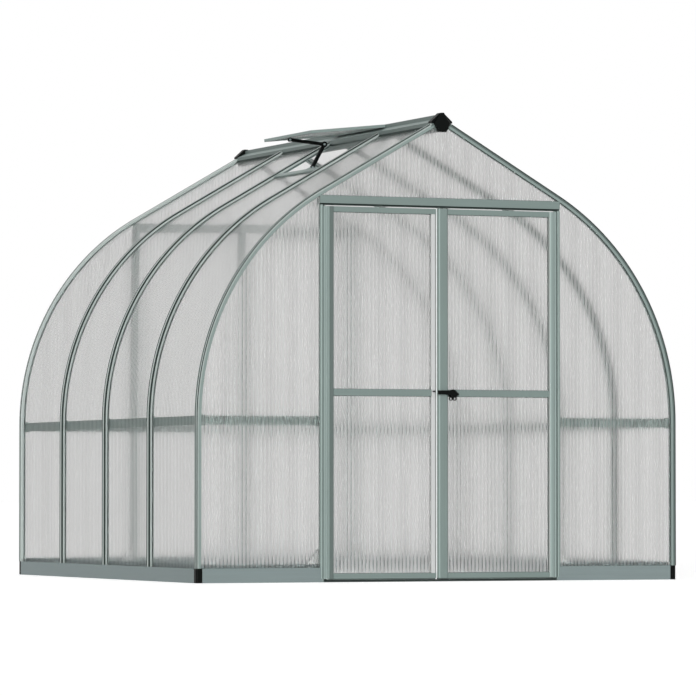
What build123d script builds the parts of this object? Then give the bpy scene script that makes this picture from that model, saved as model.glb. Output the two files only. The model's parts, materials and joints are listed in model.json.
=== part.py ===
"""Bell-shaped greenhouse with twin-wall panels, double doors and an open roof vent.

Millimetres, +Z up. X runs along the front, Y runs from the doors to the rear wall.
The origin is on the ground at the centre of the plan.
"""

from build123d import *
import math
import os

# Overall form
width = 2446
bay_pitch = 610
bay_count = 4
spring_height = 752
roof_pitch = 30
gable_reach = 20
bend_shares = (0, 0.5, 1)

# Fits
seat_gap = 0.3
overrun = 50

# Panels
panel_thickness = 6
panel_depth = 15

# Bell-shaped ribs
rib_cap_width = 36
rib_crown_width = 14
rib_crown_height = 6
rib_web_width = 10
rib_flange_width = 34
rib_flange_thickness = 3

# Gable ribs
gable_rib_width = 28
gable_rib_skin = 7
gable_rib_web = 6
gable_rib_edge = 3
gable_groove_start = 9
gable_groove_width = 12
gable_groove_depth = 5
front_groove_start = 8
front_groove_width = 5
front_groove_depth = 4

# Steel base
base_height = 67
base_sheet = 3
base_shelf = 29
base_upstand = 17
corner_radius = 8

# Ridge beam and its end caps
ridge_rise = 14
ridge_fin_half = 6
ridge_fin_height = 18
ridge_lip_half = 50
ridge_lip_height = 22
ridge_body_half = 36
ridge_body_height = 14
ridge_bottom_half = 20
ridge_bottom_height = 12
end_cap_thickness = 22
end_cap_half = 40
end_cap_rim = 6
end_cap_chamfer = 5
hood_plate = 6
hood_wall = 3
hood_length = 30

# Mid-height rails
rail_drop = 29
rail_height = 41
rail_depth = 14
rail_sheet = 2.5
rail_joint = 4
rail_plate_width = 24
rail_plate_height = 50

# Door opening
jamb_inner = 595
jamb_flange = 18
jamb_body = 10
jamb_lip = 6.5
jamb_depth = 35
header_drop = 423.5
header_height = 44
header_lip = 12
header_recess = 8
header_drip = 8
fin_thickness = 3.4
threshold_height = 10
threshold_nose = 5
gusset_leg = 75
gusset_height = 90
gusset_thickness = 3
gusset_flange = 12

# Hinges of the doors
hinge_inset = 12
hinge_proud = 10
bead_radius = 5
bead_play = 0.5
knuckle_radius = 9
hinge_neck = 4
door_swing = 150
neck_play = 1

# Door leaves
door_foot_gap = 6
door_head_gap = 6.6
door_front = 15
door_thickness = 30
hinge_stile_width = 26
door_rail_depth = 24
bottom_rail_height = 24
top_rail_height = 25
middle_rail_rise = 108.7
middle_rail_height = 30
groove_depth = 8
left_leaf_edge = 31
left_stile_width = 25
left_stile_front = 8
right_leaf_edge = 25
right_stile_width = 53
right_stile_front = 20
right_stile_radius = 12

# Latch
latch_inset = 22.6
latch_rise = 10.3
latch_plate_radius = 22
latch_plate_thickness = 7
latch_boss_radius = 11
latch_boss_height = 7
latch_pin_radius = 4
latch_pin_play = 0.1
latch_eye_spread = 20
latch_eye_sink = 1
latch_eye_radius = 9
latch_eye_hole = 5.5
latch_knob_proud = 3
latch_knob_radius = 6
lever_reach = 82
lever_hub_radius = 17
lever_grip = 18
lever_thickness = 9
keeper_rise = 13
keeper_width = 11
keeper_thickness = 6
keeper_depth = 8
keeper_radius = 2

# Rear wall
post_width = 37
post_body = 17

# Roof vent
vent_bay = 1
sill_from_ridge = 375
sill_width = 32
sill_top = 8
sill_bottom = 24
sill_lug_reach = 47
sill_lug_width = 24
sill_lug_depth = 18
sill_lug_thickness = 14
vent_opening = 24
vent_overhang = 13
vent_thickness = 14
vent_rail = 22
vent_side_gap = 8
stay_reach = 180
stay_drop = 17
stay_width = 16
stay_thickness = 12
stay_knuckle = 10
stay_elbow_radius = 14

# Worked-out sizes
half_width = width / 2
first_rib = -bay_pitch * bay_count / 2
half_length = gable_reach - first_rib
pitch = math.radians(roof_pitch)
cap_depth = panel_depth - seat_gap
flange_start = panel_depth + panel_thickness + seat_gap
flange_end = flange_start + rib_flange_thickness
gable_rib_leg = flange_end
sheet_front = gable_rib_skin + seat_gap
sheet_back = sheet_front + panel_thickness
fin_start = sheet_back + seat_gap
fin_end = fin_start + fin_thickness
corner_size = base_shelf + seat_gap
jamb_outer = jamb_inner + jamb_flange
jamb_lip_end = jamb_inner + jamb_lip + seat_gap
jamb_body_end = jamb_inner + jamb_body + seat_gap
post_middle = jamb_outer - post_width / 2
post_face = post_middle + post_body / 2
post_back = post_middle - post_body / 2
hinge_x = jamb_inner - hinge_inset
hinge_stile_inner = hinge_x - bead_radius - bead_play - hinge_stile_width
rail_bottom = spring_height - rail_drop
rail_top = rail_bottom + rail_height
middle_rail_bottom = spring_height + middle_rail_rise
left_inner = left_leaf_edge + left_stile_width
right_inner = right_stile_width - right_leaf_edge
latch_x = right_inner + latch_inset
latch_height = middle_rail_bottom + latch_rise
latch_knob_reach = latch_plate_radius + latch_knob_proud
latch_eye_drop = latch_plate_radius - latch_eye_sink
keeper_x = left_leaf_edge + left_stile_width / 2
keeper_height = latch_height + keeper_rise
vent_length = sill_from_ridge + vent_overhang


def roof_height(depth, x=0):
    """Height of the roof line that lies a depth under the outer face, at a distance from the centre"""
    return spring_height + (half_width - depth) / math.cos(pitch) - abs(x) * math.tan(pitch)


apex = roof_height(0)
ridge_top = apex + ridge_rise
header_bottom = apex - header_drop
header_top = header_bottom + header_height
door_bottom = threshold_height + door_foot_gap
door_top = header_bottom - door_head_gap


def curve_point(depth, share, y=0):
    """Point of the left bend: share 0 is the spring of the arc, share 1 is where the roof begins"""
    angle = share * (math.pi / 2 - pitch)
    reach = half_width - depth
    return (-reach * math.cos(angle), y, spring_height + reach * math.sin(angle))


def rib_curve(y):
    """Line of a left rib from the base, up the wall, round the bend and up the roof to the ridge"""
    with BuildLine() as curve:
        spring, bend, shoulder = [curve_point(0, share, y) for share in bend_shares]
        Line((-half_width, y, base_height), spring)
        ThreePointArc(spring, bend, shoulder)
        Line(shoulder, (0, y, apex))
    return curve


def block(low_x, high_x, low_y, high_y, mode=Mode.ADD):
    """Rectangle of a sketch given by its sides"""
    with Locations(((low_x + high_x) / 2, (low_y + high_y) / 2)):
        Rectangle(high_x - low_x, high_y - low_y, mode=mode)


def section_block(low_depth, high_depth, low_y, high_y, mode=Mode.ADD):
    """Rectangle of a rib's section between two depths under the outer face"""
    block(low_depth - half_width, high_depth - half_width, low_y, high_y, mode=mode)


def trim_at_ridge():
    """Cut the upper ends of ribs and panels to the pocket under the ridge beam"""
    body = ridge_body_half + seat_gap
    lip = ridge_lip_half + seat_gap
    low = roof_height(half_width / 2)
    high = ridge_top + overrun
    with BuildSketch(Plane.XZ) as pocket:
        with BuildLine():
            Polyline(
                (overrun, low),
                (-body, low),
                (-body, roof_height(panel_depth, body)),
                (-lip, roof_height(panel_depth, lip)),
                (-lip, high),
                (overrun, high),
                close=True,
            )
        make_face()
    extrude(pocket.sketch, amount=half_length + overrun, both=True, mode=Mode.SUBTRACT)


def gable_outline(depth):
    """Bell-shaped outline of a gable, a depth inside the outer face of the ribs"""
    reach = half_width - depth
    with BuildSketch() as outline:
        with BuildLine():
            left = [curve_point(depth, share) for share in bend_shares]
            spring, bend, shoulder = [(x, z) for x, _, z in left]
            Polyline((0, base_height), (-reach, base_height), spring)
            ThreePointArc(spring, bend, shoulder)
            Polyline(shoulder, (0, roof_height(depth)), (0, base_height))
        make_face()
        mirror(about=Plane.YZ)
    return outline.sketch


def gable_plane(inset, rear):
    """Upright plane a distance inside the front or rear face, with its normal towards the inside"""
    if rear:
        return Plane((0, half_length - inset, 0), x_dir=(1, 0, 0), z_dir=(0, -1, 0))
    return Plane((0, inset - half_length, 0), x_dir=(-1, 0, 0), z_dir=(0, 1, 0))


def save(builder, name):
    """Label a finished piece and write it"""
    builder.part.label = name
    export_step(builder.part, f"parts/{name}.step")


os.makedirs("parts", exist_ok=True)


# Steel base
def base_section(reach, direction):
    """Folded base sheet: foot, outer face, shelf for the panels and an upstand behind them"""

    def at(depth, z):
        return (direction * (reach - depth), z)

    with BuildLine() as fold:
        Polyline(
            at(0, 0),
            at(base_shelf, 0),
            at(base_shelf, base_sheet),
            at(base_sheet, base_sheet),
            at(base_sheet, base_height - base_sheet),
            at(base_shelf, base_height - base_sheet),
            at(base_shelf, base_height + base_upstand),
            at(base_shelf - base_sheet, base_height + base_upstand),
            at(base_shelf - base_sheet, base_height),
            at(0, base_height),
            close=True,
        )
    make_face(fold.edges())


def clear_upstand(limit):
    """Shorten the upstand so that it ends clear of the gable ribs and the posts"""
    return limit - gable_rib_leg - seat_gap


for side_name, side in (("left", -1), ("right", 1)):
    with BuildPart() as side_base:
        with BuildSketch(Plane.XZ):
            base_section(half_width, side)
        extrude(amount=half_length - corner_size - seat_gap, both=True)
        with BuildSketch(Plane.XY.offset(base_height)):
            for end in (-1, 1):
                upstand_end = half_length - gable_rib_width - seat_gap
                with Locations((side * half_width, end * (upstand_end + overrun / 2))):
                    Rectangle(base_shelf * 2 + overrun, overrun)
        extrude(amount=base_upstand + overrun, mode=Mode.SUBTRACT)
    save(side_base, f"{side_name}_base")

with BuildPart() as front_base:
    with BuildSketch(Plane.YZ.offset(jamb_lip_end)):
        base_section(half_length, -1)
    extrude(amount=half_width - corner_size - seat_gap - jamb_lip_end)
    with BuildSketch(Plane.XY.offset(base_height)):
        for low_x, high_x in ((jamb_lip_end, jamb_body_end), (clear_upstand(half_width), half_width)):
            block(low_x, high_x, -half_length, base_shelf + overrun - half_length)
    extrude(amount=base_upstand + overrun, mode=Mode.SUBTRACT)
    mirror(about=Plane.YZ)
save(front_base, "front_base")

with BuildPart() as rear_base:
    with BuildSketch(Plane.YZ):
        base_section(half_length, 1)
    extrude(amount=half_width - corner_size - seat_gap, both=True)
    with BuildSketch(Plane.XY.offset(base_height)):
        for end in (-1, 1):
            upstand_end = clear_upstand(half_width)
            with Locations((end * (upstand_end + overrun / 2), half_length)):
                Rectangle(overrun, base_shelf * 2 + overrun)
    extrude(amount=base_upstand + overrun, mode=Mode.SUBTRACT)
save(rear_base, "rear_base")

with BuildPart() as base_corners:
    with BuildSketch():
        with Locations((corner_size / 2 - half_width, corner_size / 2 - half_length)):
            corner_square = Rectangle(corner_size, corner_size)
        fillet(corner_square.vertices().sort_by(Axis.X).sort_by(Axis.Y)[:1], corner_radius)
    extrude(amount=base_height)
    mirror(about=Plane.YZ)
    mirror(about=Plane.XZ)
save(base_corners, "base_corners")

with BuildPart() as door_threshold:
    with BuildSketch(Plane.YZ):
        with BuildLine():
            Polyline(
                (-half_length, 0),
                (-half_length, threshold_height - threshold_nose),
                (threshold_nose - half_length, threshold_height),
                (jamb_depth - half_length, threshold_height),
                (jamb_depth - half_length, 0),
                close=True,
            )
        make_face()
    extrude(amount=jamb_inner - seat_gap, both=True)
save(door_threshold, "door_threshold")


# Bell-shaped ribs
def rib_section(y):
    """Section of a rib between two bays: crown, cap over the panels, web and inner flange"""
    for half, low_depth, high_depth in (
        (rib_crown_width / 2, 0, rib_crown_height),
        (rib_cap_width / 2, rib_crown_height, cap_depth),
        (rib_web_width / 2, cap_depth, flange_start),
        (rib_flange_width / 2, flange_start, flange_end),
    ):
        section_block(low_depth, high_depth, y - half, y + half)


def gable_leg(rear, low_depth, high_depth, start, end, mode=Mode.ADD):
    """Part of a gable rib's section between two distances behind the gable's face"""
    inward = -1 if rear else 1
    face = -inward * half_length
    section_block(low_depth, high_depth, *sorted((face + inward * start, face + inward * end)), mode=mode)


def gable_rib_section(rear, section):
    """Section of a gable rib: grooved cap, front skin over the gable's panels, web and inner flange"""
    gable_leg(rear, 0, cap_depth, 0, gable_rib_width)
    chamfer(section.vertices().group_by(Axis.X)[0], gable_rib_edge)
    gable_leg(rear, cap_depth, gable_rib_leg, 0, gable_rib_skin)
    gable_leg(rear, cap_depth, flange_end, fin_start, fin_start + gable_rib_web)
    gable_leg(rear, flange_start, flange_end, fin_start, gable_rib_width)
    side_end = gable_groove_start + gable_groove_width
    gable_leg(rear, 0, gable_groove_depth, gable_groove_start, side_end, Mode.SUBTRACT)
    front_end = front_groove_start + front_groove_width
    gable_leg(rear, front_groove_start, front_end, 0, front_groove_depth, Mode.SUBTRACT)


rib_names = ["front_rib", "second_rib", "middle_rib", "fourth_rib", "rear_rib"]
for number, name in enumerate(rib_names):
    rib_y = first_rib + number * bay_pitch
    with BuildPart() as rib:
        curve = rib_curve(rib_y)
        with BuildSketch(Plane.XY.offset(base_height)) as section:
            if number in (0, bay_count):
                gable_rib_section(number == bay_count, section)
            else:
                rib_section(rib_y)
        sweep(path=curve.wire())
        trim_at_ridge()
        mirror(about=Plane.YZ)
    save(rib, name)


# Ridge beam and its end caps
ridge_shoulder = ridge_top - ridge_fin_height
ridge_lip_top = roof_height(cap_depth, ridge_lip_half) + ridge_lip_height
ridge_body_bottom = roof_height(cap_depth, ridge_body_half) - ridge_body_height
ridge_bottom = ridge_body_bottom - ridge_bottom_height


def ridge_outline(gap):
    """Outline of the ridge beam's section, grown by a gap"""
    with BuildSketch() as outline:
        with BuildLine():
            Polyline(
                (0, ridge_top),
                (-ridge_fin_half, ridge_top),
                (-ridge_fin_half, ridge_shoulder),
                (-ridge_lip_half, ridge_lip_top),
                (-ridge_lip_half, roof_height(cap_depth, ridge_lip_half)),
                (-ridge_body_half, roof_height(cap_depth, ridge_body_half)),
                (-ridge_body_half, ridge_body_bottom),
                (-ridge_bottom_half, ridge_bottom),
                (0, ridge_bottom),
                close=True,
            )
        make_face()
        mirror(about=Plane.YZ)
        if gap:
            offset(amount=gap, kind=Kind.INTERSECTION)
    return outline.sketch


with BuildPart() as ridge_beam:
    with BuildSketch(Plane.XZ):
        add(ridge_outline(0))
    extrude(amount=half_length, both=True)
save(ridge_beam, "ridge_beam")

cap_top = ridge_top + end_cap_rim
hood_half = ridge_lip_half + seat_gap + hood_wall
hood_side = ridge_lip_top + hood_wall
hood_bottom = roof_height(0, ridge_lip_half) + seat_gap
cap_plane = Plane.XZ.offset(half_length + seat_gap)
with BuildPart() as ridge_end_caps:
    with BuildSketch(cap_plane) as hood:
        with BuildLine():
            Polyline(
                (0, cap_top),
                (-ridge_fin_half - hood_wall, cap_top),
                (-hood_half, hood_side),
                (-hood_half, hood_bottom),
                (0, hood_bottom),
                close=True,
            )
        make_face()
        mirror(about=Plane.YZ)
    extrude(hood.sketch, amount=-hood_length)
    with BuildSketch(cap_plane) as beam_end:
        add(ridge_outline(seat_gap))
    extrude(beam_end.sketch, amount=-hood_length - overrun, mode=Mode.SUBTRACT)
    extrude(hood.sketch, amount=hood_plate)
    with BuildSketch(cap_plane) as boss:
        with BuildLine():
            Polyline(
                (0, cap_top),
                (-ridge_fin_half, cap_top),
                (-end_cap_half, hood_bottom),
                (-ridge_bottom_half, ridge_bottom - end_cap_rim),
                (0, ridge_bottom - end_cap_rim),
                close=True,
            )
        make_face()
        mirror(about=Plane.YZ)
    extrude(boss.sketch, amount=end_cap_thickness)
    chamfer(ridge_end_caps.faces().sort_by(Axis.Y)[0].edges(), end_cap_chamfer)
    mirror(about=Plane.XZ)
save(ridge_end_caps, "ridge_end_caps")


# Mid-height rails
def rail_section(start, direction):
    """Channel of a rail, open towards the inside, between its two flanges"""
    with BuildLine() as channel:
        Polyline(
            (start, rail_bottom),
            (start + direction * rail_depth, rail_bottom),
            (start + direction * rail_depth, rail_bottom + rail_sheet),
            (start + direction * rail_sheet, rail_bottom + rail_sheet),
            (start + direction * rail_sheet, rail_top - rail_sheet),
            (start + direction * rail_depth, rail_top - rail_sheet),
            (start + direction * rail_depth, rail_top),
            (start, rail_top),
            close=True,
        )
    make_face(channel.edges())


def rail_plate(low_x, low_y, size_x, size_y):
    """Upright fixing plate at the end of a rail, a little taller than the rail"""
    with BuildSketch(Plane.XY.offset(rail_bottom + rail_height / 2 - rail_plate_height / 2)) as plate:
        block(low_x, low_x + size_x, low_y, low_y + size_y)
    extrude(plate.sketch, amount=rail_plate_height)


side_rail_face = half_width - flange_end - seat_gap
gable_rail_start = side_rail_face
gable_rail_face = half_length - fin_start - gable_rib_web - seat_gap
side_rail_end = gable_rail_face - rail_depth - seat_gap
for side_name, side in (("left", -1), ("right", 1)):
    with BuildPart() as side_rails:
        for bay in range(bay_count):
            rail_start = max(first_rib + bay * bay_pitch + rail_joint / 2, -side_rail_end)
            rail_length = min(first_rib + (bay + 1) * bay_pitch - rail_joint / 2, side_rail_end) - rail_start
            with BuildSketch(Plane.XZ.offset(-rail_start)):
                rail_section(side * side_rail_face, -side)
            extrude(amount=-rail_length)
            plate_low = min(side * side_rail_face, side * (side_rail_face - rail_sheet))
            rail_plate(plate_low, rail_start, rail_sheet, rail_plate_width)
            rail_plate(plate_low, rail_start + rail_length - rail_plate_width, rail_sheet, rail_plate_width)
    save(side_rails, f"{side_name}_mid_rails")


def gable_rail(low_x, high_x, end):
    """Length of rail behind a gable wall, with a fixing plate at each end"""
    face = end * gable_rail_face
    with BuildSketch(Plane.YZ.offset(low_x)) as channel:
        rail_section(face, -end)
    extrude(channel.sketch, amount=high_x - low_x)
    plate_low = min(face, face - end * rail_sheet)
    rail_plate(low_x, plate_low, rail_plate_width, rail_sheet)
    rail_plate(high_x - rail_plate_width, plate_low, rail_plate_width, rail_sheet)


with BuildPart() as front_mid_rails:
    gable_rail(jamb_outer - groove_depth + seat_gap, gable_rail_start, -1)
    mirror(about=Plane.YZ)
save(front_mid_rails, "front_mid_rails")

with BuildPart() as rear_mid_rails:
    gable_rail(post_body / 2 + seat_gap, post_back - seat_gap, 1)
    gable_rail(post_face + seat_gap, gable_rail_start, 1)
    mirror(about=Plane.YZ)
save(rear_mid_rails, "rear_mid_rails")


# Door jambs and header
bead_y = -half_length - hinge_proud
jamb_foot = base_height + seat_gap
with BuildPart() as door_jambs:
    with BuildSketch():
        block(jamb_inner, jamb_inner + jamb_lip, -half_length, gable_rib_skin - half_length)
    extrude(amount=jamb_foot)
    with BuildSketch(Plane.XY.offset(jamb_foot)):
        block(jamb_inner, jamb_inner + jamb_body, -half_length, jamb_depth - half_length)
        block(jamb_inner, jamb_outer, -half_length, gable_rib_skin - half_length)
        block(jamb_inner, jamb_outer, fin_start - half_length, fin_end - half_length)
    extrude(amount=header_bottom - seat_gap - jamb_foot)
    with BuildSketch(Plane.XY.offset(door_bottom)):
        with Locations((hinge_x, bead_y)):
            Circle(bead_radius)
        with BuildLine() as neck:
            Line((hinge_x, bead_y), (jamb_inner + hinge_neck, hinge_neck - half_length))
        trace(line_width=hinge_neck)
    extrude(amount=door_top - door_bottom)
    mirror(about=Plane.YZ)
save(door_jambs, "door_jambs")


def header(rear):
    """Header across a gable between the posts' outer edges, its corners cut to the gable rib"""
    direction = 1 if rear else -1

    def at(inset, z):
        return (direction * (half_length - inset), z)

    with BuildPart() as bar:
        with BuildSketch(Plane.YZ):
            with BuildLine():
                Polyline(
                    at(0, header_bottom),
                    at(0, header_top),
                    at(gable_rib_skin, header_top),
                    at(gable_rib_skin, header_top - header_lip),
                    at(fin_start, header_top - header_lip),
                    at(fin_start, header_top),
                    at(fin_end, header_top),
                    at(fin_end, header_top - header_lip),
                    at(jamb_depth, header_top - header_lip),
                    at(jamb_depth, header_bottom),
                    close=True,
                )
            make_face()
            low_inset, high_inset, height = 0, header_recess, header_drip
            if rear:
                low_inset, high_inset, height = gable_rib_skin, fin_start, groove_depth
            cut = sorted((at(low_inset, 0)[0], at(high_inset, 0)[0]))
            block(*cut, header_bottom - overrun, header_bottom + height, mode=Mode.SUBTRACT)
        extrude(amount=jamb_outer, both=True)
        with BuildSketch(Plane.XZ):
            add(gable_outline(gable_rib_leg + seat_gap))
        extrude(amount=half_length + overrun, both=True, mode=Mode.INTERSECT)
    return bar


save(header(rear=False), "door_header")
save(header(rear=True), "rear_header")

with BuildPart() as rear_posts:
    with BuildSketch(Plane.XY.offset(base_height)):
        for middle in (-post_middle, 0, post_middle):
            for half, low_inset, high_inset in (
                (post_width / 2, 0, gable_rib_skin),
                (post_body / 2, gable_rib_skin, jamb_depth),
                (post_width / 2, fin_start, fin_end),
            ):
                block(middle - half, middle + half, half_length - high_inset, half_length - low_inset)
    extrude(amount=header_bottom - base_height)
    with BuildSketch(Plane.XY.offset(base_height)):
        block(-half_width, half_width, half_length - jamb_depth, half_length - base_shelf + base_sheet + seat_gap)
    extrude(amount=base_upstand + seat_gap, mode=Mode.SUBTRACT)
save(rear_posts, "rear_posts")


def gusset_triangle(foot_x, direction, inset):
    """Triangle of a gusset beside a post, its sloping side moved in by an inset"""
    slant = math.hypot(gusset_leg, gusset_height)
    leg = gusset_leg - inset * slant / gusset_height
    height = gusset_height - inset * slant / gusset_leg
    with BuildLine() as edges:
        Polyline(
            (foot_x * direction, base_height),
            (foot_x * direction, base_height + height),
            ((foot_x + leg) * direction, base_height),
            close=True,
        )
    make_face(edges.edges())


gusset_inset = base_shelf + seat_gap
with BuildPart() as post_gussets:
    for rear, foot_x in ((False, jamb_body_end), (True, post_face + seat_gap)):
        plane = gable_plane(gusset_inset, rear)
        with BuildSketch(plane) as outer:
            gusset_triangle(foot_x, plane.x_dir.X, 0)
        extrude(outer.sketch, amount=gusset_flange)
        with BuildSketch(plane.offset(gusset_thickness)) as inner:
            gusset_triangle(foot_x, plane.x_dir.X, gusset_thickness)
        extrude(inner.sketch, amount=gusset_flange, mode=Mode.SUBTRACT)
    mirror(about=Plane.YZ)
save(post_gussets, "post_gussets")


# Flat panels of the two gables
def gable_panel(rear, low_x, high_x, low_z, high_z):
    """Flat panel of a gable: the bell outline cut to a rectangle"""
    with BuildPart() as panel:
        with BuildSketch(gable_plane(sheet_front, rear)):
            add(gable_outline(panel_depth))
            block(low_x, high_x, low_z, high_z, mode=Mode.INTERSECT)
        extrude(amount=panel_thickness)
    return panel


def upper_panel(rear):
    """Panel over a header, with its notch for the ridge beam"""
    with BuildPart() as panel:
        add(gable_panel(rear, -jamb_outer, jamb_outer, gable_bottom, ridge_top).part)
        trim_under_ridge()
    return panel


def side_panels(rear, low_x):
    """Panels on both sides of a gable, from the base up to the rib, cut out round the end of the header"""
    header_end = jamb_outer + seat_gap
    with BuildPart() as panels:
        add(gable_panel(rear, low_x, half_width, base_height, ridge_top).part)
        with BuildSketch(Plane.XZ) as cutout:
            block(-header_end, header_end, header_bottom - seat_gap, ridge_top)
        extrude(cutout.sketch, amount=half_length + overrun, both=True, mode=Mode.SUBTRACT)
        mirror(about=Plane.YZ)
    return panels


def trim_under_ridge():
    """Cut a notch for the ridge beam into the top of a gable panel"""
    side = ridge_body_half + seat_gap
    with BuildSketch(Plane.XZ) as notch:
        block(-side, side, ridge_bottom - seat_gap, ridge_top + overrun)
        block(-ridge_lip_half - seat_gap, ridge_lip_half + seat_gap,
              roof_height(panel_depth, ridge_lip_half), ridge_top + overrun)
    extrude(notch.sketch, amount=half_length + overrun, both=True, mode=Mode.SUBTRACT)


gable_bottom = header_top - header_lip + seat_gap
door_side = jamb_outer - groove_depth + seat_gap
save(side_panels(False, door_side), "front_side_panels")
save(upper_panel(False), "front_gable_panel")
save(side_panels(True, post_face + seat_gap), "rear_side_panels")
save(upper_panel(True), "rear_gable_panel")
center_top = header_bottom + groove_depth - seat_gap
with BuildPart() as rear_center_panel:
    add(gable_panel(True, post_body / 2 + seat_gap, post_back - seat_gap, base_height, center_top).part)
    mirror(about=Plane.YZ)
save(rear_center_panel, "rear_center_panel")


# Roof vent: planes across the slope and across the flap, with x running down from the ridge
vent_start = first_rib + vent_bay * bay_pitch
slope_x = (-math.cos(pitch), 0, -math.sin(pitch))
flap_pitch = math.radians(roof_pitch - vent_opening)
flap_x = (-math.cos(flap_pitch), 0, -math.sin(flap_pitch))
flap_hinge = (-ridge_fin_half - seat_gap - vent_thickness * math.sin(flap_pitch), ridge_top)


def slope_plane(y):
    """Plane across the left slope: x runs down the roof from the ridge, y points out of it"""
    return Plane((0, y, apex), x_dir=slope_x, z_dir=(0, 1, 0))


def flap_plane(y):
    """Plane across the open flap: x runs from its hinge to its free edge, y points up out of it"""
    return Plane((flap_hinge[0], y, flap_hinge[1]), x_dir=flap_x, z_dir=(0, 1, 0))


# Curved panels of the bays
bay_names = ["front_bay_panels", "second_bay_panels", "third_bay_panels", "rear_bay_panels"]
panel_inset = rib_web_width / 2 + seat_gap
gable_inset = fin_start + gable_rib_web + seat_gap - gable_reach
for bay, name in enumerate(bay_names):
    low_y = first_rib + bay * bay_pitch + (gable_inset if bay == 0 else panel_inset)
    high_y = first_rib + (bay + 1) * bay_pitch - (gable_inset if bay == bay_count - 1 else panel_inset)
    with BuildPart() as bay_panels:
        curve = rib_curve((low_y + high_y) / 2)
        with BuildSketch(Plane.XY.offset(base_height)):
            section_block(panel_depth, panel_depth + panel_thickness, low_y, high_y)
        sweep(path=curve.wire())
        trim_at_ridge()
        mirror(about=Plane.YZ)
        if bay == vent_bay:
            with BuildSketch(slope_plane(low_y - overrun)):
                block(0, sill_from_ridge + sill_width - groove_depth + seat_gap, -overrun, overrun)
            extrude(amount=high_y - low_y + overrun * 2, mode=Mode.SUBTRACT)
    save(bay_panels, name)


# Vent sill, flap and stay
sill_low_y = vent_start + rib_cap_width / 2 + seat_gap
sill_high_y = vent_start + bay_pitch - rib_cap_width / 2 - seat_gap
sill_end = sill_from_ridge + sill_width
lug_bottom = sill_lug_depth + sill_lug_thickness
vent_middle = vent_start + bay_pitch / 2

with BuildPart() as vent_sill:
    with BuildSketch(slope_plane(sill_low_y)):
        block(sill_from_ridge, sill_end, -sill_bottom, -sill_top)
        groove_low = -panel_depth - panel_thickness - seat_gap
        block(sill_end - groove_depth, sill_end + overrun, groove_low, -cap_depth, mode=Mode.SUBTRACT)
    extrude(amount=sill_high_y - sill_low_y)
    with BuildSketch(slope_plane(vent_middle - sill_lug_width / 2)):
        block(sill_from_ridge - sill_lug_reach, sill_from_ridge, -lug_bottom, -sill_lug_depth)
    extrude(amount=sill_lug_width)
save(vent_sill, "vent_sill")

flap_low_y = vent_start + vent_side_gap
flap_high_y = vent_start + bay_pitch - vent_side_gap
pane_top = (vent_thickness - panel_thickness) / 2
pane_bottom = pane_top + panel_thickness

with BuildPart() as vent_side_rails:
    low_rail = (flap_low_y, flap_low_y + vent_rail - groove_depth)
    high_rail = (flap_high_y - vent_rail, flap_high_y - vent_rail)
    for start, groove_start in (low_rail, high_rail):
        with BuildSketch(flap_plane(start)):
            block(0, vent_length, -vent_thickness, 0)
        extrude(amount=vent_rail)
        with BuildSketch(flap_plane(groove_start)):
            block(vent_rail, vent_length - vent_rail, -pane_bottom - seat_gap, seat_gap - pane_top)
        extrude(amount=groove_depth, mode=Mode.SUBTRACT)
save(vent_side_rails, "vent_side_rails")

cross_low_y = flap_low_y + vent_rail
cross_length = flap_high_y - flap_low_y - vent_rail * 2
with BuildPart() as vent_cross_rails:
    with BuildSketch(flap_plane(cross_low_y)):
        block(0, vent_rail, -vent_thickness, 0)
        block(vent_length - vent_rail, vent_length, -vent_thickness, 0)
        block(vent_rail - groove_depth, vent_length - vent_rail + groove_depth,
              -pane_bottom - seat_gap, seat_gap - pane_top, mode=Mode.SUBTRACT)
    extrude(amount=cross_length)
save(vent_cross_rails, "vent_cross_rails")

with BuildPart() as vent_pane:
    pane_reach = groove_depth - seat_gap
    with BuildSketch(flap_plane(cross_low_y - pane_reach)):
        block(vent_rail, vent_length - vent_rail, -pane_bottom, -pane_top)
    extrude(amount=cross_length + pane_reach * 2)
    with BuildSketch(flap_plane(cross_low_y)):
        block(vent_rail - pane_reach, vent_length - vent_rail + pane_reach, -pane_bottom, -pane_top)
    extrude(amount=cross_length)
save(vent_pane, "vent_pane")

stay_y = vent_middle - stay_thickness / 2
tip = flap_plane(stay_y).from_local_coords(
    Vector(vent_length - vent_rail / 2, -vent_thickness - stay_knuckle - seat_gap)
)
foot = slope_plane(stay_y).from_local_coords(
    Vector(sill_from_ridge - sill_lug_reach - stay_knuckle - seat_gap, -(sill_lug_depth + lug_bottom) / 2)
)
stay_tip = (tip.X, tip.Z)
stay_elbow = (tip.X + stay_reach, tip.Z - stay_drop)
stay_foot = (foot.X, foot.Z)

with BuildPart() as vent_stay:
    with BuildSketch(Plane.XZ.offset(-stay_y)):
        with BuildLine():
            Polyline(stay_tip, stay_elbow, stay_foot)
        trace(line_width=stay_width)
        with Locations(stay_tip, stay_foot):
            Circle(stay_knuckle)
        with Locations(stay_elbow):
            Circle(stay_elbow_radius)
    extrude(amount=-stay_thickness)
save(vent_stay, "vent_stay")


# Door leaves
leaf_front = -half_length - door_front
leaf_back = leaf_front + door_thickness
pane_front = leaf_front + (door_thickness - panel_thickness) / 2
pane_back = pane_front + panel_thickness
middle_rail_top = middle_rail_bottom + middle_rail_height
rail_spans = [
    (door_bottom, door_bottom + bottom_rail_height),
    (middle_rail_bottom, middle_rail_top),
    (door_top - top_rail_height, door_top),
]


def pane_groove(low_x, high_x):
    """Groove for the edge of a pane in a stile's section"""
    block(low_x, high_x, pane_front - seat_gap, pane_back + seat_gap, mode=Mode.SUBTRACT)


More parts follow.
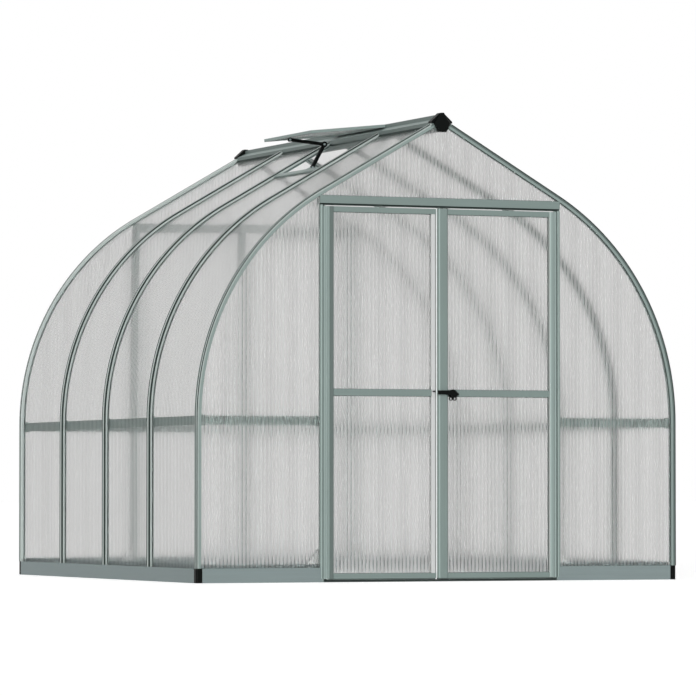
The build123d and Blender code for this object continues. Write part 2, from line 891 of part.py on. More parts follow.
def hinge_stile():
    """Section of the right-hand hinge stile: a grooved box with a half-open knuckle round the hinge bead"""
    bore = bead_radius + bead_play
    neck_x = jamb_inner + hinge_neck - hinge_x
    neck_y = hinge_neck + hinge_proud
    neck_angle = math.degrees(math.atan2(neck_y, neck_x))
    slack = math.degrees(math.asin((hinge_neck / 2 + neck_play) / bore))
    open_from = neck_angle + slack
    open_to = neck_angle - door_swing - slack
    block(hinge_stile_inner, hinge_x - bore, leaf_front, leaf_back)
    pane_groove(hinge_stile_inner, hinge_stile_inner + groove_depth)
    with Locations((hinge_x, bead_y)):
        Circle(knuckle_radius)
        Circle(bore, mode=Mode.SUBTRACT)
    with BuildLine() as opening:
        mouth = CenterArc((hinge_x, bead_y), knuckle_radius * 2, open_to, open_from - open_to)
        Line((hinge_x, bead_y), mouth @ 0)
        Line((hinge_x, bead_y), mouth @ 1)
    make_face(opening.edges(), mode=Mode.SUBTRACT)


def stiles(meeting_section):
    """Hinge stile and meeting stile of a leaf, as if it hung on the right"""
    with BuildPart() as pair:
        with BuildSketch(Plane.XY.offset(door_bottom)) as sections:
            hinge_stile()
            meeting_section(sections)
        extrude(amount=door_top - door_bottom)
    return pair


def left_meeting_stile(_):
    """Slender stile at the meeting edge of the left leaf"""
    high = left_leaf_edge + left_stile_width
    block(left_leaf_edge, high, -half_length - left_stile_front, leaf_back)
    pane_groove(high - groove_depth, high)


def right_meeting_stile(sections):
    """Broad rounded stile at the meeting edge of the right leaf"""
    high = right_stile_width - right_leaf_edge
    block(-right_leaf_edge, high, -half_length - right_stile_front, leaf_back)
    front = -half_length - right_stile_front
    corners = [v for v in sections.vertices() if abs(v.Y - front) < seat_gap]
    fillet(corners, right_stile_radius)
    pane_groove(high - groove_depth, high)


def rails(low_x):
    """Three grooved rails of a leaf that hangs on the right, from its meeting stile to its hinge stile"""
    with BuildPart() as bars:
        with BuildSketch(Plane.YZ.offset(low_x)):
            rail_front = leaf_front + (door_thickness - door_rail_depth) / 2
            for low_z, high_z in rail_spans:
                block(rail_front, rail_front + door_rail_depth, low_z, high_z)
            for low_z, high_z in ((rail_spans[0][1], middle_rail_bottom), (middle_rail_top, rail_spans[2][0])):
                block(pane_front - seat_gap, pane_back + seat_gap, low_z - groove_depth, high_z + groove_depth,
                      mode=Mode.SUBTRACT)
        extrude(amount=hinge_stile_inner - low_x)
    return bars


def panes(low_x):
    """Upper and lower pane of a leaf that hangs on the right"""
    reach = groove_depth - seat_gap
    with BuildPart() as sheets:
        with BuildSketch(Plane.XZ.offset(-pane_front)):
            for low_z, high_z in ((rail_spans[0][1], middle_rail_bottom), (middle_rail_top, rail_spans[2][0])):
                block(low_x - reach, hinge_stile_inner + reach, low_z - reach, high_z + reach)
        extrude(amount=-panel_thickness)
    return sheets


leaves = (("left", left_meeting_stile, left_inner), ("right", right_meeting_stile, right_inner))
for side_name, meeting, inner in leaves:
    for piece_name, piece in (("stiles", stiles(meeting)), ("rails", rails(inner)), ("panes", panes(inner))):
        if side_name == "left":
            with BuildPart() as leaf_piece:
                mirror(piece.part, about=Plane.YZ)
        else:
            leaf_piece = piece
        save(leaf_piece, f"{side_name}_door_{piece_name}")


# Latch on the right leaf and its keeper on the left leaf
rail_face = leaf_front + (door_thickness - door_rail_depth) / 2
latch_back = rail_face - seat_gap
latch_plate_front = latch_back - latch_plate_thickness
latch_boss_front = latch_plate_front - latch_boss_height
lever_back = latch_boss_front - seat_gap
lever_front = lever_back - lever_thickness

with BuildPart() as latch_body:
    with BuildSketch(Plane.XZ.offset(-latch_back)):
        with Locations((latch_x, latch_height)):
            Circle(latch_plate_radius)
        with Locations((latch_x + latch_knob_reach, latch_height)):
            Circle(latch_knob_radius)
        for spread in (-latch_eye_spread / 2, latch_eye_spread / 2):
            with Locations((latch_x + spread, latch_height - latch_eye_drop)):
                Circle(latch_eye_radius)
        for spread in (-latch_eye_spread / 2, latch_eye_spread / 2):
            with Locations((latch_x + spread, latch_height - latch_eye_drop)):
                Circle(latch_eye_hole, mode=Mode.SUBTRACT)
    extrude(amount=latch_plate_thickness)
    with BuildSketch(Plane.XZ.offset(-latch_plate_front)):
        with Locations((latch_x, latch_height)):
            Circle(latch_boss_radius)
    extrude(amount=latch_boss_height)
    with BuildSketch(Plane.XZ.offset(-latch_boss_front)):
        with Locations((latch_x, latch_height)):
            Circle(latch_pin_radius)
    extrude(amount=lever_thickness)
save(latch_body, "latch_body")

with BuildPart() as latch_lever:
    with BuildSketch(Plane.XZ.offset(-lever_back)):
        with Locations((latch_x, latch_height)):
            Circle(lever_hub_radius)
        with BuildLine():
            top = latch_height + lever_hub_radius
            Polyline(
                (latch_x, top),
                (latch_x - lever_reach, top),
                (latch_x - lever_reach, top - lever_grip),
                (latch_x - lever_reach / 2, top - lever_grip),
                (latch_x - lever_hub_radius / 2, latch_height - lever_hub_radius / 2),
                close=True,
            )
        make_face()
        with Locations((latch_x, latch_height)):
            Circle(latch_pin_radius + latch_pin_play, mode=Mode.SUBTRACT)
    extrude(amount=lever_thickness)
save(latch_lever, "latch_lever")

with BuildPart() as latch_keeper:
    with BuildSketch(Plane.XZ.offset(half_length + left_stile_front)):
        with Locations((-keeper_x, keeper_height)):
            RectangleRounded(keeper_width, keeper_thickness, keeper_radius)
    extrude(amount=keeper_depth)
save(latch_keeper, "latch_keeper")
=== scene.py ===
"""Looks of the bell-shaped greenhouse: finishes, fasteners, seals, studio and camera."""
import bmesh
import bpy
import json
import math
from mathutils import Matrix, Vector


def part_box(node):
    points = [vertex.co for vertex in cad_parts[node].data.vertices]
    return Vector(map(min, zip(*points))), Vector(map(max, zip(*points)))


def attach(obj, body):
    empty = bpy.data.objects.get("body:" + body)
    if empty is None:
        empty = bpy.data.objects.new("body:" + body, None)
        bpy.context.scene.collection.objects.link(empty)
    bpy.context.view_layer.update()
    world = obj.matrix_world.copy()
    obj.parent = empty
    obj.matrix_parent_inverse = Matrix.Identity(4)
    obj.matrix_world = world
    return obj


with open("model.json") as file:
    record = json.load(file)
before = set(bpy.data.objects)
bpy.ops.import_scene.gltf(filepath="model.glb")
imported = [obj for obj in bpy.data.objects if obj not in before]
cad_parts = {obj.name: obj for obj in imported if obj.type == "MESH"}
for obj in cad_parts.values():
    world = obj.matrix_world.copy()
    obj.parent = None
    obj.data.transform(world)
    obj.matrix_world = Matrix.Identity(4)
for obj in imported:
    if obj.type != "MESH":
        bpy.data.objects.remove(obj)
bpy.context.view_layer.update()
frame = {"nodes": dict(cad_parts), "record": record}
nodes = frame["nodes"]

# Camera
CAMERA_PLACE = (-8.66285, -20.46078, 0.40733)
CAMERA_YAW = -23.078
CAMERA_TILT = 1.845
SENSOR_WIDTH = 36.0
FOCAL_LENGTH = 234.1
CLIP_END = 200.0
LEVEL_ANGLE = 90.0

# Studio
AMBIENT = 0.4
KEY_STRENGTH = 2.28
KEY_ANGLE = 25.0
KEY_FROM = (-0.45, -0.85, 0.2)
FLOOR_SIZE = 400.0
FLOOR_COLOR = (0.8, 0.8, 0.8, 1)
FLOOR_GLOW = 0.6

# Colours of the finishes, among them painted highlights and painted shade
FRAME_COLOR = (0.25, 0.312, 0.295)
HEADER_COLOR = (0.205, 0.26, 0.245)
# Painted shade: a darker copy of the frame metal for faces turned from the key light, under the ridge and in
# gaps
PAINTED_SHADE_COLOR = (0.14, 0.175, 0.165)
# Painted highlight: a lighter copy of the frame metal on the crowns and cap sides of the ribs
CROWN_HIGHLIGHT_COLOR = (0.48, 0.54, 0.52)
# Painted highlight: a near-white strip standing for the lit edge between the door leaves
STRIP_HIGHLIGHT_COLOR = (0.84, 0.87, 0.86)
# Painted highlight: a pale copy of the stile metal for lit stile faces
STILE_HIGHLIGHT_COLOR = (0.58, 0.59, 0.585)
BASE_COLOR = (0.215, 0.262, 0.262)
# Painted light: the gussets made paler to stand for light that the sheets keep from them
GUSSET_LIGHT_COLOR = (0.78, 0.8, 0.79)
# Dark aluminium of its own, also used as painted shade under the vent rails and on the gusset edges
DARK_COLOR = (0.06, 0.075, 0.072)
# Black rubber of the stops and seals, also used as painted shade in grooves, gaps and recesses
SEAL_AND_SHADE_COLOR = (0.03, 0.042, 0.038)
GLAZING_SEAL_COLOR = (0.12, 0.15, 0.14)
BLACK_COLOR = (0.003, 0.004, 0.0036)

# Metallic weight and roughness of the metals, roughness of the plastics
FRAME_SURFACE = (0.25, 0.42)
PAINTED_SHADE_SURFACE = (0.25, 0.45)
CROWN_HIGHLIGHT_SURFACE = (0.4, 0.4)
PALE_SURFACE = (0.2, 0.4)
BASE_SURFACE = (0.3, 0.5)
DARK_SURFACE = (0.4, 0.45)
BLACK_ROUGHNESS = 0.42
RUBBER_ROUGHNESS = 0.6
STRIP_ROUGHNESS = 0.5

# Streaks and clouds of the metals
NOISE_DETAIL = 2.0
STREAK_SHARE = 0.12
STREAK_DETAIL = 3.0
STREAK_ALONG = 3.0
STREAK_ACROSS = 160.0
ALONG_X = (STREAK_ALONG, STREAK_ACROSS, STREAK_ACROSS)
ALONG_Y = (STREAK_ACROSS, STREAK_ALONG, STREAK_ACROSS)
ALONG_Z = (STREAK_ACROSS, STREAK_ACROSS, STREAK_ALONG)
CLOUD_SCALE = 3.0
STREAK_MIX_SHARE = 0.6
CLOUD_MIX_SHARE = 0.4
METAL_SPREAD = (-0.06, 0.08)
METAL_SPECULAR = 0.2
METAL_BUMP = {"strength": 0.08, "depth": 0.001}

# Grain of the plastics
GRAIN_SCALE = 900.0
MOTTLE_SCALE = 40.0
MOTTLE_SHARES = (0.8, 1.25)
PLASTIC_SPREAD = (-0.08, 0.08)
PLASTIC_SPECULAR = 0.06
PLASTIC_BUMP = {"strength": 0.15, "depth": 0.0003}

# Flutes of the sheets
FLUTE_PITCH = 0.0185
CLEAR_WIDTH = 0.4
WEB_EDGES = (-0.55, -0.95)
WEB_SCALE = 14.0
WEB_DETAIL = 3.0
WEB_SPREAD = (0.01, -0.03)
BAND_EDGES = (-0.5, 1.0)
BAND_SHARE = 0.05
BAND_FLUTES = 6
TINT_SCALE = 60.0
TINT_DETAIL = 1.0
GREEN_SHARES = (0.98, 1.0, 0.99)
PINK_SHARES = (1.0, 0.97, 0.98)
GABLE_SHEET = {
    "color": (0.815, 0.82, 0.817), "transmission": 0.95, "ior": 1.12, "haze": 0.42, "clear_haze": 0.2,
    "clear_from": 0.1, "web_share": 0.05, "flute_depth": 0.00005, "band_pitch": FLUTE_PITCH * BAND_FLUTES,
}
BAY_SHEET = {
    "color": (0.81, 0.815, 0.811), "transmission": 0.985, "ior": 1.04, "haze": 0.3, "clear_haze": 0.03,
    "clear_from": -0.3, "web_share": 0.1, "flute_depth": 0.00005, "band_pitch": 0.046,
}

# Form of the ribs, as the frame has it
RIB_NAMES = ("front_rib", "second_rib", "middle_rib", "fourth_rib", "rear_rib")
SHEET_DEPTH = 0.015
SPRING_HEIGHT = 0.752
ROOF_PITCH = math.radians(30)
ARC_STEPS = 40
RIDGE_CLEAR = 0.056
RIDGE_SEAL_WIDTH = 0.007
RIDGE_SEAL_HEIGHT = 0.006
CROWN_HALF = 0.007
SHOULDER_DEPTH = 0.006
SIDE_GROOVE = (0.009, 0.021)
SIDE_GROOVE_DEPTH = 0.005
FRONT_STRIP = 0.008
OUTER_LINE = (0.0003, 0.0055)
OUTER_LINE_HEIGHT = 0.0005
CAP_DEPTH = 0.0148
GABLE_LEG = 0.0243
FACE_DEPTH = 0.001
GABLE_SKIN = 0.007

# Tests that pick faces or solids of a node
FACING = 0.5
FLANK = 0.8
UNDERSIDE = 0.3
LEAF_SPLIT_SHARE = 0.25
MERGE_DIGITS = 5

# Seals and trim, with dark strips of painted shade
RIB_SHADE_WIDTH = 0.0105
SEAL_SINK = 0.0003
SEAL_WIDTH = 0.002
SEAL_HEIGHT = 0.002
SEAL_CREST_SHARE = 0.6
SWEEP_PLAY = 0.0008
SWEEP_HALF = 0.006
SWEEP_END_GAP = 0.002
KNUCKLE_RADIUS = 0.009
HINGE_DEPTH = 0.005
FOOT_RADIUS = 0.0105
KNUCKLE_REACH = 0.0145
LEAF_GAP = 0.006
JAMB_INNER = 0.595
JAMB_LINE = (0.0, 0.003)
BEAD_INSET = 0.009
BEAD_HALF = 0.0045
BEAD_HEIGHT = 0.0035
BEAD_STEPS = 8
COVER_STEPS = 8
COVER_HEIGHT = 0.005
COVER_RAIL_STEP = 0.003
STRIP_PLAY = 0.0006
STRIP_DEPTH = 0.008
EDGE_LINE = (0.0015, 0.004)
EDGE_LINE_HEIGHT = 0.0008
RAIL_END_HEIGHT = 0.0012
STOP_SPAN = (0.0005, 0.018)
STOP_DEPTHS = (0.002, 0.018, 0.024)
RECESS_HEIGHT = 0.008
RECESS_DEPTH = 0.008
RECESS_FILL = 0.0015

# Fasteners
BOLT_SIDES = 12
BOLT_RADIUS = 0.0055
BOLT_HEIGHT = 0.0035
DOME_SHARES = ((0.0, 1.0), (0.45, 0.96), (0.8, 0.75), (1.0, 0.4))
PIN_RADIUS = 0.006
PIN_HEIGHT = 0.003
PLATE_THICKNESS = 0.0025
PLATE_MIDDLE = 0.012
GUSSET_THICKNESS = 0.003
GUSSET_BOLTS = ((0.012, 0.058), (0.012, 0.026), (0.045, 0.026))
STAY_KNUCKLE = 0.01
STAY_ELBOW = 0.014


class Nodes:
    """A material's node tree with short ways to add and join nodes"""

    def __init__(self, tree):
        self.tree = tree

    def add(self, kind, **settings):
        """A new node with its settings"""
        node = self.tree.nodes.new(kind)
        for name, value in settings.items():
            setattr(node, name, value)
        return node

    def link(self, source, target):
        """Join an output to an input"""
        self.tree.links.new(source, target)

    def math(self, operation, first, second=None):
        """The result of an operation on one or two values"""
        node = self.add("ShaderNodeMath", operation=operation)
        for socket, value in zip(node.inputs, (first, second)):
            self.feed(socket, value)
        return node.outputs[0]

    def feed(self, socket, value):
        """Link an output to a socket, or set a plain value on it"""
        if value is None:
            return
        if isinstance(value, bpy.types.NodeSocket):
            self.link(value, socket)
        else:
            socket.default_value = value

    def mix_color(self, factor, first, second):
        """A colour between two colours"""
        node = self.add("ShaderNodeMix", data_type="RGBA")
        self.feed(node.inputs["Factor"], factor)
        self.feed(node.inputs["A"], first)
        self.feed(node.inputs["B"], second)
        return node.outputs["Result"]

    def ramp(self, factor, low, high):
        """A factor from 0 to 1 spread between two values"""
        node = self.add("ShaderNodeMapRange")
        self.feed(node.inputs["Value"], factor)
        node.inputs["To Min"].default_value = low
        node.inputs["To Max"].default_value = high
        return node.outputs["Result"]

    def step(self, value, low, high):
        """A soft step from 0 to 1 between two values"""
        node = self.add("ShaderNodeMapRange", interpolation_type="SMOOTHSTEP")
        self.feed(node.inputs["Value"], value)
        node.inputs["From Min"].default_value = low
        node.inputs["From Max"].default_value = high
        return node.outputs["Result"]

    def noise(self, vector, scale, detail=NOISE_DETAIL):
        """Noise from 0 to 1 at a scale"""
        node = self.add("ShaderNodeTexNoise")
        node.inputs["Scale"].default_value = scale
        node.inputs["Detail"].default_value = detail
        self.link(vector, node.inputs["Vector"])
        return node.outputs["Fac"]

    def bump(self, height, strength, depth):
        """A normal bent by a height"""
        node = self.add("ShaderNodeBump")
        node.inputs["Strength"].default_value = strength
        node.inputs["Distance"].default_value = depth
        self.link(height, node.inputs["Height"])
        return node.outputs["Normal"]

    def place(self):
        """Place on the object"""
        return self.add("ShaderNodeTexCoord").outputs["Object"]

    def stretched(self, vector, scale):
        """A place scaled along each axis"""
        node = self.add("ShaderNodeMapping")
        node.inputs["Scale"].default_value = scale
        self.link(vector, node.inputs["Vector"])
        return node.outputs["Vector"]


def new_material(name):
    """An empty material with its node helper and its Principled shader"""
    material = bpy.data.materials.new(name)
    material.use_nodes = True
    tools = Nodes(material.node_tree)
    return material, tools, material.node_tree.nodes["Principled BSDF"]


def tinted(color, shares):
    """A colour with each of its three levels times a share"""
    return tuple(level * share for level, share in zip(color, shares)) + (1.0,)


def scaled(color, share):
    """A colour made lighter or darker by a share"""
    return tinted(color, (share, share, share))


def metal_material(name, color, streak_scale, metallic, roughness):
    """Satin metal with fine drawn streaks along the bar and soft cloudy patches"""
    material, tools, shader = new_material(name)
    place = tools.place()
    streaks = tools.noise(tools.stretched(place, streak_scale), 1.0, STREAK_DETAIL)
    clouds = tools.noise(place, CLOUD_SCALE)
    mixed = tools.math("ADD", tools.math("MULTIPLY", streaks, STREAK_MIX_SHARE),
                       tools.math("MULTIPLY", clouds, CLOUD_MIX_SHARE))
    low = scaled(color, 1 - STREAK_SHARE)
    high = scaled(color, 1 + STREAK_SHARE)
    tools.link(tools.mix_color(mixed, low, high), shader.inputs["Base Color"])
    smoothest, roughest = (roughness + change for change in METAL_SPREAD)
    tools.link(tools.ramp(streaks, smoothest, roughest), shader.inputs["Roughness"])
    shader.inputs["Metallic"].default_value = metallic
    shader.inputs["Specular IOR Level"].default_value = METAL_SPECULAR
    tools.link(tools.bump(streaks, **METAL_BUMP), shader.inputs["Normal"])
    return material


def sheet_material(name, axis, sheet):
    """Twin-wall sheet: hazy flutes with a clear line in each, dark webs between them and broad faint bands"""
    material, tools, shader = new_material(name)
    split = tools.add("ShaderNodeSeparateXYZ")
    tools.link(tools.place(), split.inputs[0])
    across = split.outputs[axis]
    wave = tools.math("SINE", tools.math("MULTIPLY", across, 2 * math.pi / FLUTE_PITCH))
    clear = tools.step(wave, sheet["clear_from"], sheet["clear_from"] + CLEAR_WIDTH)
    web = tools.step(wave, *WEB_EDGES)
    band = tools.math("SINE", tools.math("MULTIPLY", across, 2 * math.pi / sheet["band_pitch"]))
    line = tools.add("ShaderNodeCombineXYZ")
    tools.link(across, line.inputs[0])
    patches = tools.noise(line.outputs[0], WEB_SCALE, WEB_DETAIL)
    webs = tools.math("MULTIPLY", web, tools.ramp(patches, 0.0, 2 * sheet["web_share"]))
    bands = tools.step(band, *BAND_EDGES)
    strength = tools.math("ADD", webs, tools.math("MULTIPLY", bands, BAND_SHARE))
    green = tinted(sheet["color"], GREEN_SHARES)
    pink = tinted(sheet["color"], PINK_SHARES)
    tint = tools.mix_color(tools.noise(line.outputs[0], TINT_SCALE, TINT_DETAIL), green, pink)
    tools.link(tools.mix_color(strength, tint, (0, 0, 0, 1)), shader.inputs["Base Color"])
    clearest, darkest = (sheet["transmission"] + change for change in WEB_SPREAD)
    tools.link(tools.ramp(web, clearest, darkest), shader.inputs["Transmission Weight"])
    tools.link(tools.ramp(clear, sheet["haze"], sheet["clear_haze"]), shader.inputs["Roughness"])
    shader.inputs["IOR"].default_value = sheet["ior"]
    tools.link(tools.bump(wave, 1.0, sheet["flute_depth"]), shader.inputs["Normal"])
    return material


def plastic_material(name, color, roughness):
    """Moulded plastic with a fine grain"""
    material, tools, shader = new_material(name)
    place = tools.place()
    grain = tools.noise(place, GRAIN_SCALE)
    darker, lighter = (scaled(color, share) for share in MOTTLE_SHARES)
    mottle = tools.noise(place, MOTTLE_SCALE)
    tools.link(tools.mix_color(mottle, darker, lighter), shader.inputs["Base Color"])
    smoothest, roughest = (roughness + change for change in PLASTIC_SPREAD)
    tools.link(tools.ramp(grain, smoothest, roughest), shader.inputs["Roughness"])
    shader.inputs["Specular IOR Level"].default_value = PLASTIC_SPECULAR
    tools.link(tools.bump(grain, **PLASTIC_BUMP), shader.inputs["Normal"])
    return material


metals = {
    axis: metal_material(f"frame_aluminium_{axis}", FRAME_COLOR, scale, *FRAME_SURFACE)
    for axis, scale in (("x", ALONG_X), ("y", ALONG_Y), ("z", ALONG_Z))
}
steels = {
    axis: metal_material(f"base_steel_{axis}", BASE_COLOR, scale, *BASE_SURFACE)
    for axis, scale in (("x", ALONG_X), ("y", ALONG_Y))
}
# Dark aluminium of its own, also used as painted shade
dark_metal_and_shade = metal_material("dark_aluminium", DARK_COLOR, ALONG_X, *DARK_SURFACE)
black_plastic = plastic_material("black_plastic", BLACK_COLOR, BLACK_ROUGHNESS)
# Rubber, also used as painted shade
rubber_and_painted_shade = plastic_material("rubber_and_painted_shade", SEAL_AND_SHADE_COLOR, RUBBER_ROUGHNESS)
header_metal = metal_material("header_aluminium", HEADER_COLOR, ALONG_X, *FRAME_SURFACE)
# Painted highlight on the rib crowns
crown_highlight_metal = metal_material("crown_highlight_aluminium", CROWN_HIGHLIGHT_COLOR, ALONG_Z, *CROWN_HIGHLIGHT_SURFACE)
# Painted light on the gussets
lightened_gusset = metal_material("lightened_gusset", GUSSET_LIGHT_COLOR, ALONG_Z, *PALE_SURFACE)
side_rail_metal = metal_material("side_rail_aluminium", HEADER_COLOR, ALONG_Y, *FRAME_SURFACE)
stile_metal = metal_material("stile_aluminium", HEADER_COLOR, ALONG_Z, *FRAME_SURFACE)
# Painted shade: the frame metal darkened where shade falls
painted_shade_metal = metal_material("painted_shade_aluminium", PAINTED_SHADE_COLOR, ALONG_Z, *PAINTED_SHADE_SURFACE)
# Painted highlight on the strip between the leaves
highlight_strip = plastic_material("highlight_strip", STRIP_HIGHLIGHT_COLOR, STRIP_ROUGHNESS)
# Painted highlight on stile faces
stile_highlight = metal_material("stile_highlight", STILE_HIGHLIGHT_COLOR, ALONG_Z, *PALE_SURFACE)
glazing_seal = plastic_material("glazing_seal", GLAZING_SEAL_COLOR, RUBBER_ROUGHNESS)
sheet_upright = sheet_material("twin_wall_gable", "X", GABLE_SHEET)
sheet_curved = sheet_material("twin_wall_bay", "Y", BAY_SHEET)


def finish_of(name, slot):
    """Material of a node from its slot and the way its length runs"""
    if slot == "twin_wall_sheet":
        curved = name.endswith("bay_panels") or name == "vent_pane"
        return sheet_curved if curved else sheet_upright
    if slot == "black_plastic":
        return black_plastic
    if slot == "dark_aluminium":
        return dark_metal_and_shade
    # The gussets get painted light
    if name == "post_gussets":
        return lightened_gusset
    if slot == "base_steel":
        lows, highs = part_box(name)
        return steels["y"] if highs.y - lows.y > highs.x - lows.x else steels["x"]
    if name in ("left_mid_rails", "right_mid_rails"):
        return side_rail_metal
    if name in ("ridge_beam", "vent_sill", "vent_cross_rails"):
        return metals["y"]
    if name.endswith(("_header", "door_rails")):
        return header_metal
    if name in ("front_mid_rails", "rear_mid_rails", "vent_side_rails"):
        return metals["x"]
    return metals["z"]


for part in frame["record"]["subparts"]:
    mesh = nodes[part["node"]].data
    mesh.materials.clear()
    mesh.materials.append(finish_of(part["node"], part["material_slot"]))


# Pieces added to the frame
class Shape:
    """Points and faces of a piece, gathered one bar at a time"""

    def __init__(self):
        self.points = []
        self.faces = []

    def bar(self, rings, closed=False):
        """A bar through rings of points, with end caps unless it closes on itself"""
        count = len(rings[0])
        first = len(self.points)
        for ring in rings:
            self.points.extend(ring)
        for number in range(len(rings) if closed else len(rings) - 1):
            low = first + number * count
            high = first + (number + 1) % len(rings) * count
            for side in range(count):
                after = (side + 1) % count
                self.faces.append((low + side, low + after, high + after, high + side))
        if not closed:
            last = first + (len(rings) - 1) * count
            self.faces.append(tuple(range(first + count - 1, first - 1, -1)))
            self.faces.append(tuple(range(last, last + count)))

    def piece(self, name, material, body):
        """Make the object, with its faces turned outwards, and let it ride on its body"""
        mesh = bpy.data.meshes.new(name)
        mesh.from_pydata(self.points, [], self.faces)
        work = bmesh.new()
        work.from_mesh(mesh)
        bmesh.ops.recalc_face_normals(work, faces=work.faces)
        work.to_mesh(mesh)
        work.free()
        mesh.materials.append(material)
        made = bpy.data.objects.new(name, mesh)
        bpy.context.scene.collection.objects.link(made)
        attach(made, body)
        return made


def solid_boxes(name):
    """Lowest and highest corners of each solid of a node, from the left to the right"""
    mesh = nodes[name].data
    keys = [tuple(round(value, MERGE_DIGITS) for value in vertex.co) for vertex in mesh.vertices]
    parents = {key: key for key in keys}

    def root(key):
        while parents[key] != key:
            key = parents[key]
        return key

    for polygon in mesh.polygons:
        first = root(keys[polygon.vertices[0]])
        for index in polygon.vertices[1:]:
            parents[root(keys[index])] = first
    groups = {}
    for key in parents:
        groups.setdefault(root(key), []).append(key)
    boxes = [(Vector(map(min, zip(*points))), Vector(map(max, zip(*points)))) for points in groups.values()]
    return sorted(boxes, key=lambda box: tuple(box[0]))


half_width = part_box("middle_rib")[1].x
base_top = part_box("middle_rib")[0].z
gable_face = -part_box("front_rib")[0].y
leaf_split = half_width * LEAF_SPLIT_SHARE


def bell_depth(x, z):
    """Depth of a point under the outer face of the bell"""
    rise = max(0.0, z - SPRING_HEIGHT)
    if rise * math.tan(ROOF_PITCH) > abs(x):
        return half_width - rise * math.cos(ROOF_PITCH) - abs(x) * math.sin(ROOF_PITCH)
    return half_width - math.hypot(x, rise)


def refinish(name, material, chosen):
    """Give another finish to the faces of a node that a test picks"""
    mesh = nodes[name].data
    mesh.materials.append(material)
    for polygon in mesh.polygons:
        if chosen(polygon):
            polygon.material_index = len(mesh.materials) - 1


def is_pale(polygon):
    """True on the outermost face of a rib, the side walls of its cap and the rim of a gable rib's front:
    these faces get a painted highlight, and on the right half of a gable rib painted shade
    """
    depth = bell_depth(polygon.center.x, polygon.center.z)
    if abs(polygon.normal.y) < FACING:
        return depth < FACE_DEPTH
    return depth < (FRONT_STRIP if abs(polygon.center.y) > gable_face - FACE_DEPTH else CAP_DEPTH)


def is_left_flank(polygon, way):
    """True on the faces of a hinge stile that look to the left"""
    return way * polygon.center.x > leaf_split and polygon.normal.x < -FLANK


# Painted highlight on the crowns, cap sides and gable rims of the ribs
for rib_name in RIB_NAMES:
    refinish(rib_name, crown_highlight_metal, is_pale)
# Painted shade: on each gable rib the right half of the pale faces is darkened, as turned from the light
for rib_name in ("front_rib", "rear_rib"):
    refinish(rib_name, painted_shade_metal, lambda polygon: is_pale(polygon) and polygon.center.x > 0)
# Painted highlight on the left leaf's meeting stile
refinish("left_door_stiles", stile_highlight, lambda polygon: polygon.center.x > -leaf_split)
refinish("right_door_stiles", stile_metal, lambda polygon: polygon.center.x < leaf_split)
# Painted shade on the left-facing flank of the left hinge stile
refinish("left_door_stiles", painted_shade_metal, lambda polygon: is_left_flank(polygon, -1))
# Painted highlight on the left-facing flank of the right hinge stile
refinish("right_door_stiles", stile_highlight, lambda polygon: is_left_flank(polygon, 1))
# Painted shade on the sides and underside of the ridge beam
refinish("ridge_beam", painted_shade_metal, lambda polygon: polygon.normal.z < UNDERSIDE)
# Painted shadow on the undersides of the vent rails, under the flap
for rail_name in ("vent_side_rails", "vent_cross_rails"):
    refinish(rail_name, dark_metal_and_shade, lambda polygon: polygon.normal.z < -UNDERSIDE)
# Painted shade on the gussets' edges and bent flange
refinish("post_gussets", dark_metal_and_shade, lambda polygon: abs(polygon.normal.y) < FACING)


def bell_line(depth, end_x):
    """Points of the left half of the bell, a depth under its outer face, from the base to near the ridge"""
    reach = half_width - depth
    points = [(-reach, base_top)]
    for step in range(ARC_STEPS + 1):
        angle = (math.pi / 2 - ROOF_PITCH) * step / ARC_STEPS
        points.append((-reach * math.cos(angle), SPRING_HEIGHT + reach * math.sin(angle)))
    points.append((-end_x, SPRING_HEIGHT + reach / math.cos(ROOF_PITCH) - end_x * math.tan(ROOF_PITCH)))
    return points


def bell_bars(shape, low_depth, high_depth, low_y, high_y):
    """A bar along both halves of the bell between two depths and two places along the house"""
    corners = ((low_depth, low_y), (low_depth, high_y), (high_depth, high_y), (high_depth, low_y))
    lines = [[(x, y, z) for x, z in bell_line(depth, RIDGE_CLEAR)] for depth, y in corners]
    for side in (1, -1):
        shape.bar([[(side * x, y, z) for x, y, z in ring] for ring in zip(*lines)])


def rib_shade_strips():
    """Dark strips of painted shade in the grooves of the ribs, along the outer edge of the gable ribs' fronts
    and along the edge of the gable panels
    """
    shape = Shape()
    for name in ("second_rib", "middle_rib", "fourth_rib"):
        lows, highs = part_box(name)
        middle = (lows.y + highs.y) / 2
        for side in (-1, 1):
            edges = sorted((middle + side * CROWN_HALF, middle + side * (CROWN_HALF + RIB_SHADE_WIDTH)))
            bell_bars(shape, SEAL_SINK, SHOULDER_DEPTH, *edges)
    for side in (-1, 1):
        face = side * gable_face
        bell_bars(shape, SEAL_SINK, SIDE_GROOVE_DEPTH, *sorted(face - side * inset for inset in SIDE_GROOVE))
        bell_bars(shape, *OUTER_LINE, *sorted((face, face + side * OUTER_LINE_HEIGHT)))
        edge = sorted((face - side * (GABLE_SKIN - SEAL_HEIGHT), face - side * GABLE_SKIN))
        bell_bars(shape, GABLE_LEG, GABLE_LEG + SEAL_WIDTH, *edge)
    shape.piece("rib_shade_strips", rubber_and_painted_shade, "frame")


def wedge(width, back, front):
    """Section of a glazing seal: upright against the frame, sloping down to the sheet"""
    return ((0, back), (0, front), (width * SEAL_CREST_SHARE, front), (width, back))


def straight_seal(shape, start, end, away, back, front):
    """A seal from start to end in a wall, its width running away from the frame"""
    (start_x, start_z), (end_x, end_z) = start, end
    rings = []
    for x, z in ((start_x, start_z), (end_x, end_z)):
        rings.append([(x + away[0] * s, y, z + away[1] * s) for s, y in wedge(SEAL_WIDTH, back, front)])
    shape.bar(rings)


